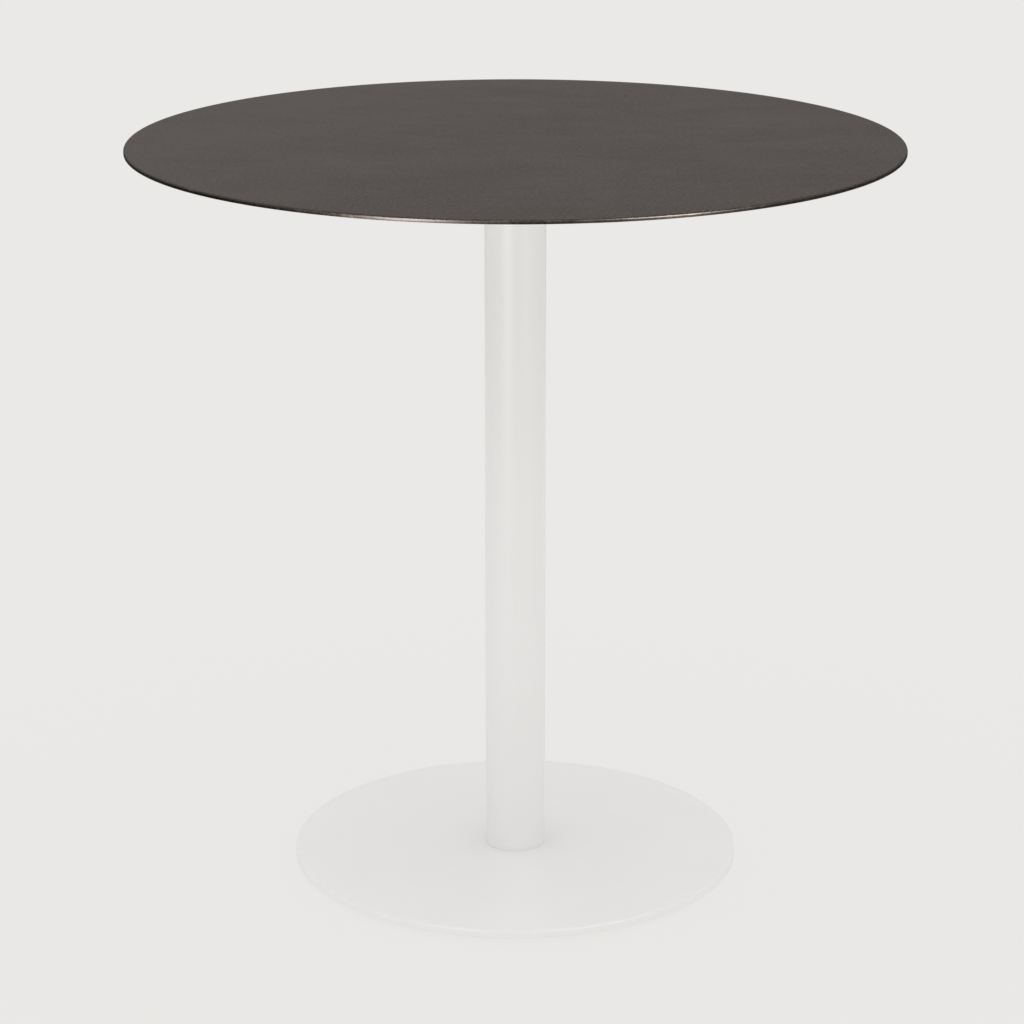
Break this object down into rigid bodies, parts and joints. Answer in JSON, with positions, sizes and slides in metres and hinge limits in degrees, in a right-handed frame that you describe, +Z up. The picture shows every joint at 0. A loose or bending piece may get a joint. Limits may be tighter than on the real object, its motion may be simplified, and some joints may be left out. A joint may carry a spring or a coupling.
{
  "type": "bistro table",
  "caption": "Round pedestal bistro table: thin metal-clad top on a single tube column, flat steel disc base, screw-adjustable levelling feet.",
  "frame": {"origin": "on the floor under the column's axis, feet screwed right in", "axes": "+Z up along the column, +X to the right seen from the front, +Y away from the front"},
  "size_m": [0.75, 0.75, 0.74],
  "materials": {
    "patinated_metal": "dark warm-grey patina, brushed, satin",
    "core_board": "fibreboard, stained dark and sealed",
    "backing_laminate": "pale grey balancing laminate, matt",
    "powder_coat": "off-white powder coat, satin",
    "zinc_steel": "bright zinc plate",
    "turned_steel": "turned, plain",
    "nylon": "black nylon, fine grain"
  },
  "bodies": {
    "table": {"top_skin": "patinated_metal", "top_core": "core_board", "backing_sheet": "backing_laminate", "insert_nuts": "zinc_steel", "mounting_plate": "powder_coat", "mounting_washers": "zinc_steel", "mounting_screws": "zinc_steel", "upper_hub": "turned_steel", "column_tube": "powder_coat", "tie_rod": "zinc_steel", "tie_rod_lock_nut": "zinc_steel", "lower_hub": "turned_steel", "base_disc": "powder_coat", "hub_screws": "zinc_steel", "tie_rod_washer": "zinc_steel", "tie_rod_nut": "zinc_steel"},
    "foot_pad_1": {"foot_pad_1": "nylon"},
    "foot_pad_2": {"foot_pad_2": "nylon"},
    "foot_pad_3": {"foot_pad_3": "nylon"},
    "foot_pad_4": {"foot_pad_4": "nylon"},
    "foot_screw_1": {"foot_screw_1": "zinc_steel"},
    "foot_screw_2": {"foot_screw_2": "zinc_steel"},
    "foot_screw_3": {"foot_screw_3": "zinc_steel"},
    "foot_screw_4": {"foot_screw_4": "zinc_steel"}
  },
  "joints": [
    {"name": "foot_1_slide", "type": "slide", "parent": "table", "child": "foot_pad_1", "axis": [0, 0, -1], "range_m": [0, 0.00301]},
    {"name": "foot_1_turn", "type": "hinge", "parent": "foot_pad_1", "child": "foot_screw_1", "pos_m": [0.13789, 0.13789, 0], "axis": [0, 0, -1], "range_deg": [0, 864]},
    {"name": "foot_2_slide", "type": "slide", "parent": "table", "child": "foot_pad_2", "axis": [0, 0, -1], "range_m": [0, 0.00301]},
    {"name": "foot_2_turn", "type": "hinge", "parent": "foot_pad_2", "child": "foot_screw_2", "pos_m": [-0.13789, 0.13789, 0], "axis": [0, 0, -1], "range_deg": [0, 864]},
    {"name": "foot_3_slide", "type": "slide", "parent": "table", "child": "foot_pad_3", "axis": [0, 0, -1], "range_m": [0, 0.00301]},
    {"name": "foot_3_turn", "type": "hinge", "parent": "foot_pad_3", "child": "foot_screw_3", "pos_m": [-0.13789, -0.13789, 0], "axis": [0, 0, -1], "range_deg": [0, 864]},
    {"name": "foot_4_slide", "type": "slide", "parent": "table", "child": "foot_pad_4", "axis": [0, 0, -1], "range_m": [0, 0.00301]},
    {"name": "foot_4_turn", "type": "hinge", "parent": "foot_pad_4", "child": "foot_screw_4", "pos_m": [0.13789, -0.13789, 0], "axis": [0, 0, -1], "range_deg": [0, 864]}
  ],
  "couplings": [
    {"joint": "foot_1_slide", "follows": "foot_1_turn", "m_per_rad": 0.00019894},
    {"joint": "foot_2_slide", "follows": "foot_2_turn", "m_per_rad": 0.00019894},
    {"joint": "foot_3_slide", "follows": "foot_3_turn", "m_per_rad": 0.00019894},
    {"joint": "foot_4_slide", "follows": "foot_4_turn", "m_per_rad": 0.00019894}
  ]
}
